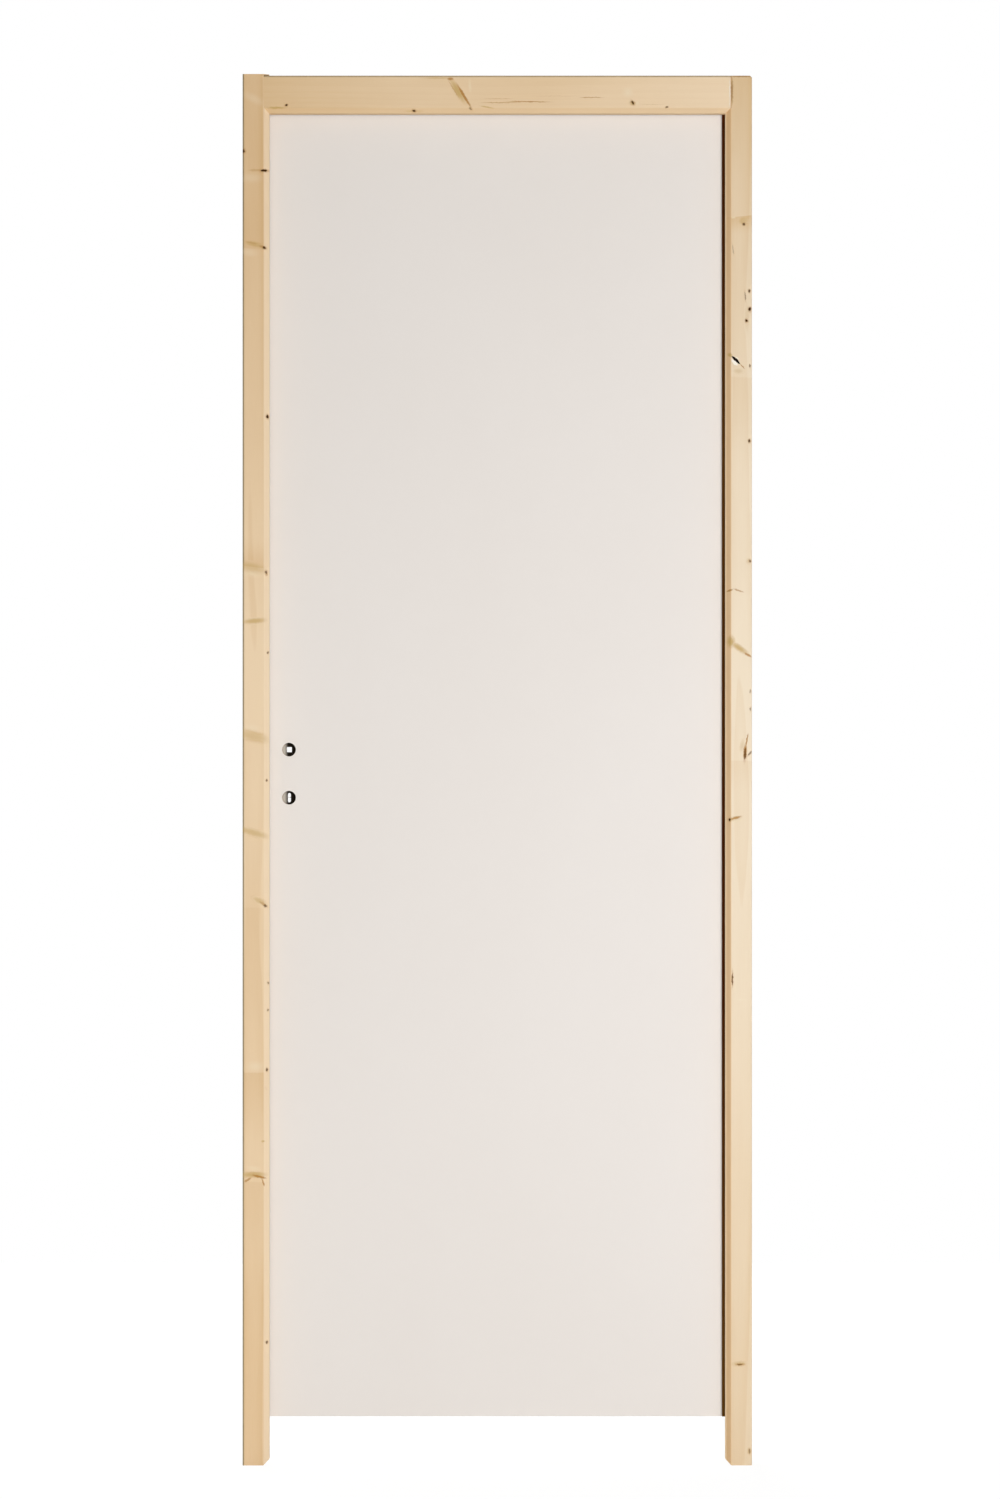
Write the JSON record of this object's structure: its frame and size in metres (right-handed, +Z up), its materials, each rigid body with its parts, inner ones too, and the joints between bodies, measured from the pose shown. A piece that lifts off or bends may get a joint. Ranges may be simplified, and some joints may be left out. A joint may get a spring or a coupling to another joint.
{
  "type": "prehung interior door",
  "caption": "Flush painted door leaf on lift-off hinges in a rebated softwood frame, with a mortise lock drilled for a handle and a key.",
  "frame": {"origin": "on the hinge jamb's flat wall face, at the floor, halfway through the frame's depth", "axes": "+X out of the hinge jamb into the wall, so the door extends to -X; +Y towards the side that the leaf opens to; +Z up the jambs"},
  "size_m": [0.792, 0.0855, 2.1635],
  "materials": {
    "spruce": "planed bare softwood, clear grain with small knots",
    "seal": "matt dark brown flexible strip",
    "zinc_plated_steel": "zinc plated",
    "bright_steel": "bright turned steel",
    "brass_ring": "turned brass",
    "prepainted_board": "smooth hardboard, sprayed with off-white primer paint",
    "painted_stile": "softwood edge, primed off-white",
    "core_wood": "rough sawn softwood inside the leaf",
    "lock_steel": "plain grey sheet steel"
  },
  "bodies": {
    "frame": {"lock_side_jamb": "spruce", "hinge_side_jamb": "spruce", "head_rail": "spruce", "lock_side_seal": "seal", "hinge_side_seal": "seal", "head_seal": "seal", "strike_plate": "zinc_plated_steel", "hinge_top_frame_flap": "zinc_plated_steel", "hinge_middle_frame_flap": "zinc_plated_steel", "hinge_bottom_frame_flap": "zinc_plated_steel", "hinge_top_pin": "bright_steel", "hinge_middle_pin": "bright_steel", "hinge_bottom_pin": "bright_steel", "hinge_top_ring": "brass_ring", "hinge_middle_ring": "brass_ring", "hinge_bottom_ring": "brass_ring"},
    "leaf": {"leaf_face_push_side": "prepainted_board", "leaf_face_pull_side": "prepainted_board", "leaf_lock_stile": "painted_stile", "leaf_hinge_stile": "painted_stile", "leaf_top_rail": "core_wood", "leaf_bottom_rail": "core_wood", "leaf_lock_block": "core_wood", "hinge_top_leaf_flap": "zinc_plated_steel", "hinge_middle_leaf_flap": "zinc_plated_steel", "hinge_bottom_leaf_flap": "zinc_plated_steel", "lock_case": "lock_steel", "lock_fore_end": "zinc_plated_steel", "latch_bolt": "bright_steel", "dead_bolt": "bright_steel"},
    "follower": {"lock_follower": "lock_steel"}
  },
  "joints": [
    {"name": "leaf_swing", "type": "hinge", "parent": "frame", "child": "leaf", "pos_m": [-0.0285, 0.043, 1.093], "axis": [0, 0, -1], "range_deg": [0, 180]},
    {"name": "follower_turn", "type": "hinge", "parent": "leaf", "child": "follower", "pos_m": [-0.721, 0.016, 1.113], "axis": [0, 1, 0], "range_deg": [0, 40], "stiffness_Nm_per_rad": 0.2}
  ]
}
